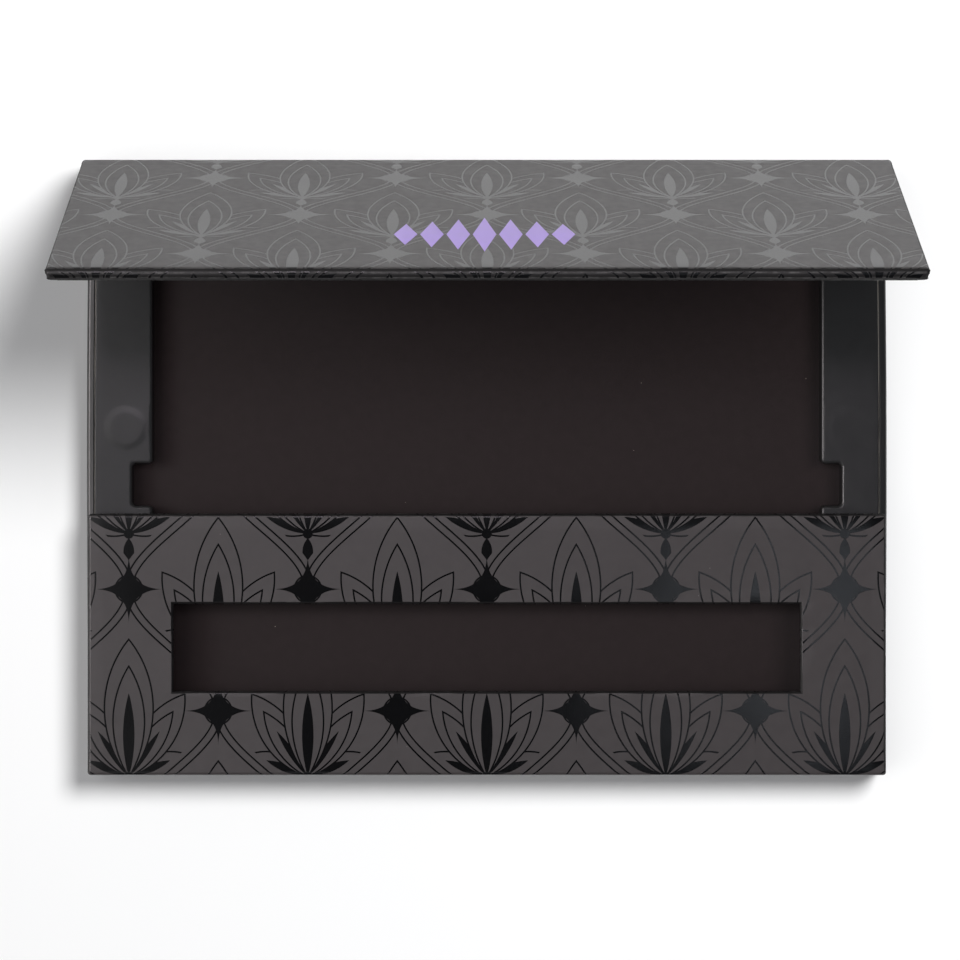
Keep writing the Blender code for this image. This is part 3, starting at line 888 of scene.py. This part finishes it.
def score_mitre(piece, side, corner_x, corner_y, inwards):
    """Presses a line into the turned-in paper from a free corner, where the folds of its two edges meet. Side is 1 on
    the right and -1 on the left, and inwards is the way in along Y."""
    across = Vector((inwards, side, 0)).normalized()
    corner = Vector((corner_x, corner_y, 0))
    for step in (-mitre_width, 0, mitre_width):
        select(
            piece, "FACE",
            lambda face: face.normal.z < -squarely and abs(middle_of(face).x - corner_x) < turn_in
            and abs(middle_of(face).y - corner_y) < turn_in
        )
        bpy.ops.mesh.bisect(plane_co=corner + across * step, plane_no=across)
    select(
        piece, "EDGE",
        lambda edge: abs(across.dot(middle_of(edge) - corner)) < speck and middle_of(edge).z < flap_bottom + speck
        and abs(middle_of(edge).x - corner_x) < turn_in
    )
    bpy.ops.transform.translate(value=(0, 0, mitre_depth))


lid_paper = start_block(
    "lid_paper", (-lid_half_width, lid_front, flap_bottom), (lid_half_width, hinge_side, flap_top)
)
select(lid_paper, "FACE", faces_down)
bpy.ops.mesh.inset(thickness=turn_in)
bpy.ops.mesh.delete(type="ONLY_FACE")
select(
    lid_paper, "EDGE",
    lambda edge: is_corner(edge) and middle_of(edge).y < lid_front + hair
    and abs(middle_of(edge).x) < lid_half_width - turn_in
)
bpy.ops.mesh.bevel(offset=lid_front_rounding, segments=8)
select(
    lid_paper, "EDGE",
    lambda edge: is_corner(edge) and not is_fold_edge(edge) and abs(middle_of(edge).x) > lid_half_width - hair
)
bpy.ops.mesh.bevel(offset=flap_rounding, segments=5)
for side in (-1, 1):
    score_mitre(lid_paper, side, side * lid_half_width, lid_front, 1)
cut_evenly("X", -lid_half_width, lid_half_width, flap_cut_spacing)
cut_evenly("Y", lid_front, hinge_side, flap_cut_spacing)
tuck_in_corners(lid_paper, lid_half_width, lid_front)
let_edges_wander(lid_paper, lid_wander, hinge_side - hair)
crease_y = lid_axis.y - crease_from_axis
for step in (-crease_half_width, 0, crease_half_width):
    cut_across("Y", crease_y + step)
select(
    lid_paper, "EDGE",
    lambda edge: abs(middle_of(edge).y - crease_y) < hair and middle_of(edge).z > flap_top - 2 * hair
)
bpy.ops.transform.translate(value=(0, 0, -crease_depth))
finish_paper(lid_paper, lid_print, paper_thickness)
lid_paper.data.transform(open_lid)
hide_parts("lid_wrap")
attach(lid_paper, "lid")

window_half_width = 0.08755
window_front = -0.0625
window_back = -0.0382
window_rounding = 0.0007
panel_turn_in = 0.009
panel_wander = 0.00016


def in_window(point):
    return abs(point.x) < window_half_width and window_front < point.y < window_back


panel_paper = start_block(
    "panel_paper", (-panel_half_width, -hinge_side, flap_bottom), (panel_half_width, panel_back, flap_top)
)
select(panel_paper, "EDGE", lambda edge: is_corner(edge) and not is_fold_edge(edge))
bpy.ops.mesh.bevel(offset=flap_rounding, segments=5)
for axis, place in (
    ("X", -window_half_width), ("X", window_half_width), ("Y", window_front), ("Y", window_back)
):
    cut_across(axis, place)
select(panel_paper, "FACE", lambda face: abs(face.normal.z) > mostly and in_window(middle_of(face)))
bpy.ops.mesh.delete(type="FACE")
select(panel_paper, "EDGE", lambda edge: edge.is_boundary)
bpy.ops.mesh.bridge_edge_loops()
bpy.ops.mesh.select_all(action="SELECT")
bpy.ops.mesh.normals_make_consistent(inside=False)


def is_window_edge(edge):
    """Round the window, at the top or the bottom of its sides."""
    middle = middle_of(edge)
    level = abs(edge.verts[0].co.z - edge.verts[1].co.z) < hair
    beside = abs(middle.x) < window_half_width + hair and window_front - hair < middle.y < window_back + hair
    return level and beside and edge.calc_face_angle(0) > sharp_angle


select(panel_paper, "EDGE", is_window_edge)
bpy.ops.mesh.bevel(offset=window_rounding, segments=5)
select(panel_paper, "FACE", lambda face: face.normal.z < -squarely)
bpy.ops.mesh.inset(thickness=panel_turn_in)
bpy.ops.mesh.delete(type="FACE")
for side in (-1, 1):
    score_mitre(panel_paper, side, side * panel_half_width, panel_back, -1)
cut_evenly("X", -panel_half_width, panel_half_width, flap_cut_spacing)
cut_evenly("Y", -hinge_side, panel_back, flap_cut_spacing)
tuck_in_corners(panel_paper, panel_half_width, panel_back)
let_edges_wander(panel_paper, panel_wander, hinge_side - hair)
finish_paper(panel_paper, panel_print, paper_thickness)
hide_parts("panel_wrap")
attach(panel_paper, "front_panel")


# The linings. Flat sheets of the same black paper are glued on last and cover raw board and turned-in edges: one
# under the box, one behind each hinge and one inside each flap.

lid_black_paper = black_paper_finish("black paper, lid", lid_opening)
dress(black_paper, "base_sheet", "back_hinge_lining", "front_hinge_lining", "panel_liner")
dress(lid_black_paper, "lid_liner")


# The lid's ornament. A row of seven lozenges is printed on the outside of the lid, near its free edge, in lilac ink
# that is laid thick, so it stands a little above the film and its edges are soft.

lozenge_pitch = 0.0069
lozenge_width = 0.0062
lozenge_heights = (0.0296, 0.0262, 0.0224, 0.0182)
ornament_x = -0.0007
ornament_y = 0.0165
print_thickness = 0.00006
print_rounding = 0.00003
ink_dark = (0.430, 0.308, 0.750, 1)
ink_pale = (0.500, 0.362, 0.860, 1)
ink_roughness_range = (0.3, 0.7, 0.42, 0.52)

bpy.ops.object.select_all(action="DESELECT")
bpy.ops.mesh.primitive_circle_add(
    vertices=4, radius=lozenge_width / 2, fill_type="NGON", location=(0, 0, flap_top)
)
lozenges = bpy.context.object
lozenges.name = "lilac_lozenges"
lozenges.data.name = "lilac_lozenges"
bpy.ops.transform.resize(value=(1, lozenge_heights[0] / lozenge_width, 1))
bpy.ops.object.transform_apply(location=True, rotation=True, scale=True)
bpy.ops.object.mode_set(mode="EDIT")
bpy.ops.mesh.select_all(action="SELECT")
bpy.ops.mesh.extrude_region_move(TRANSFORM_OT_translate={"value": (0, 0, print_thickness)})
bpy.ops.mesh.select_all(action="SELECT")
bpy.ops.mesh.normals_make_consistent(inside=False)
select(lozenges, "EDGE", lambda edge: middle_of(edge).z > flap_top + print_thickness / 2 and is_corner(edge))
bpy.ops.mesh.bevel(offset=print_rounding, segments=2)
bpy.ops.object.mode_set(mode="OBJECT")
for index, height in enumerate(lozenge_heights):
    for side in (-1, 1) if index else ():
        copy = lozenges.copy()
        copy.data = lozenges.data.copy()
        copy.data.transform(
            Matrix.Translation((side * index * lozenge_pitch, 0, 0))
            @ Matrix.Diagonal((1, height / lozenge_heights[0], 1, 1))
        )
        bpy.context.collection.objects.link(copy)
        copy.select_set(True)
bpy.ops.object.join()
lozenges.data.transform(open_lid @ Matrix.Translation((ornament_x, ornament_y, 0)))
bpy.ops.object.shade_smooth_by_angle(angle=smooth_up_to)
lilac_print, tree, shader = new_finish("lilac print")
place = add_node(tree, "ShaderNodeTexCoord").outputs["Object"]
skin = place_group(tree, paper_skin, Place=place)
ink = blend_colours(tree, skin["Mottle"], ink_dark, ink_pale)
relief = add_node(tree, "ShaderNodeBump", Height=skin["Relief"], Distance=1.0)
feed_inputs(tree, shader, Base_Color=ink, Roughness=ranged(tree, skin["Mottle"], *ink_roughness_range),
            Normal=relief.outputs["Normal"])
lozenges.data.materials.append(lilac_print)
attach(lozenges, "lid")


# The studio. Two soft lamps on stands light the palette, and a third at the upper right lights only the white sweep
# that it lies on, where it gives the shadow. Two cards show in its gloss, and the dark of the room is straight
# overhead, where a camera on a column looks down at it.

floor_level = -0.0002
sweep_white = (0.90, 0.90, 0.90, 1)
sweep_glow = 0.05
palette_middle = (0, 0, 0)
stand_x = 0.75
stand_place = (0.16, 1.30)
column = (0.02, -0.06, 1.0)
window_patch = (0.082, -0.032, 0.996)
warm_side = (1, 0.99, 0.99, 1)
cool_side = (0.82, 0.92, 1.08, 1)
plain_white = (1, 1, 1, 1)

# How bright the room is by direction: brightest at the left, less to the front and back, dark where the column is,
# with one small bright patch that the print beside the window mirrors.
left_range = (-0.26, 0.12, 0.95, 0.05)
depth_range = (0.20, 0.60, 1.0, 0.20)
front_lift_range = (-0.10, -0.30, 0.0, 0.14)
front_fade_range = (-0.50, -0.64, 1.0, 0.25)
column_range = (0.09, 0.22, 0.04, 1.0)
patch_range = (0.018, 0.048, 1.7, 0.0)
tint_range = (-0.2, 0.3, 0.0, 1.0)

bpy.ops.object.select_all(action="DESELECT")
bpy.ops.mesh.primitive_plane_add(size=6, location=(0, 0, floor_level))
floor = bpy.context.object
floor.name = "studio_floor"
bpy.ops.object.transform_apply(location=True, rotation=True, scale=True)
sweep, tree, shader = new_finish("white sweep")
seen = add_node(tree, "ShaderNodeLightPath").outputs["Is Camera Ray"]
feed_inputs(
    tree, shader, Base_Color=sweep_white, Roughness=0.95, Emission_Color=plain_white,
    Emission_Strength=maths(tree, "MULTIPLY", seen, sweep_glow)
)
floor.data.materials.append(sweep)
floor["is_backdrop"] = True


def add_softbox(name, place, target, size, power):
    """Adds a round soft lamp of a size and a power at a place, facing its target."""
    light = bpy.data.lights.new(name, "AREA")
    light.shape = "DISK"
    light.size = size
    light.energy = power
    lamp = bpy.data.objects.new(name, light)
    lamp.location = place
    lamp.rotation_euler = (Vector(target) - Vector(place)).to_track_quat("-Z", "Y").to_euler()
    bpy.context.scene.collection.objects.link(lamp)
    return lamp


def light_floor(lamp, state):
    """Keeps a lamp's light on the floor with INCLUDE, or off it with EXCLUDE."""
    receivers = bpy.data.collections.new(lamp.name + " receivers")
    receivers.objects.link(floor)
    receivers.collection_objects[0].light_linking.link_state = state
    lamp.light_linking.receiver_collection = receivers


floor_lamp = add_softbox("softbox_upper_right", (0.70, 0.60, 1.62), palette_middle, size=0.80, power=34)
light_floor(floor_lamp, "INCLUDE")
for name, side, power in (("softbox_left", -1, 8.8), ("softbox_right", 1, 12.4)):
    stand_lamp = add_softbox(name, (side * stand_x, *stand_place), palette_middle, size=0.85, power=power)
    stand_lamp.visible_glossy = False
    light_floor(stand_lamp, "EXCLUDE")
overhead_card = add_softbox("card_overhead", (-0.12, 0.46, 1.80), (-0.10, 0.05, 0), size=0.34, power=3.5)
overhead_card.visible_diffuse = False
overhead_card.data.color = (1, 0.90, 1)
left_card = add_softbox("card_left", (-1.30, 0.10, 1.20), (-0.10, 0.02, 0), size=0.60, power=14)
left_card.visible_diffuse = False
left_card.data.color = (1, 0.92, 0.93)

world = bpy.data.worlds.new("studio")
bpy.context.scene.world = world
world.use_nodes = True
tree = world.node_tree
backdrop = tree.nodes["Background"]
direction = add_node(tree, "ShaderNodeTexCoord").outputs["Generated"]
towards = add_node(tree, "ShaderNodeSeparateXYZ", Vector=direction).outputs
room = ranged(tree, towards["X"], *left_range)
room = maths(tree, "MULTIPLY", room, ranged(tree, maths(tree, "ABSOLUTE", towards["Y"]), *depth_range))
room = maths(tree, "ADD", room, ranged(tree, towards["Y"], *front_lift_range))
room = maths(tree, "MULTIPLY", room, ranged(tree, towards["Y"], *front_fade_range))
from_column = add_node(tree, "ShaderNodeVectorMath", {"operation": "DISTANCE"}, Vector=direction)
from_column.inputs[1].default_value = column
room = maths(tree, "MULTIPLY", room, ranged(tree, from_column.outputs["Value"], *column_range))
from_patch = add_node(tree, "ShaderNodeVectorMath", {"operation": "DISTANCE"}, Vector=direction)
from_patch.inputs[1].default_value = window_patch
room = maths(tree, "ADD", room, ranged(tree, from_patch.outputs["Value"], *patch_range))
seen = add_node(tree, "ShaderNodeLightPath").outputs["Is Camera Ray"]
tree.links.new(maths(tree, "MAXIMUM", room, seen), backdrop.inputs["Strength"])
to_right = ranged(tree, towards["X"], *tint_range)
room_colour = blend_colours(tree, to_right, warm_side, cool_side)
tree.links.new(blend_colours(tree, seen, room_colour, plain_white), backdrop.inputs["Color"])

camera = bpy.data.objects.new("camera", bpy.data.cameras.new("camera"))
camera.location = (-0.0019, -0.0035, 1.06905)
camera.data.lens = 141.5
camera.data.sensor_width = 36
camera.data.clip_start = 0.01
bpy.context.scene.collection.objects.link(camera)
bpy.context.scene.camera = camera
bpy.context.scene.view_settings.view_transform = "Standard"

lowest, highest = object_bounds()
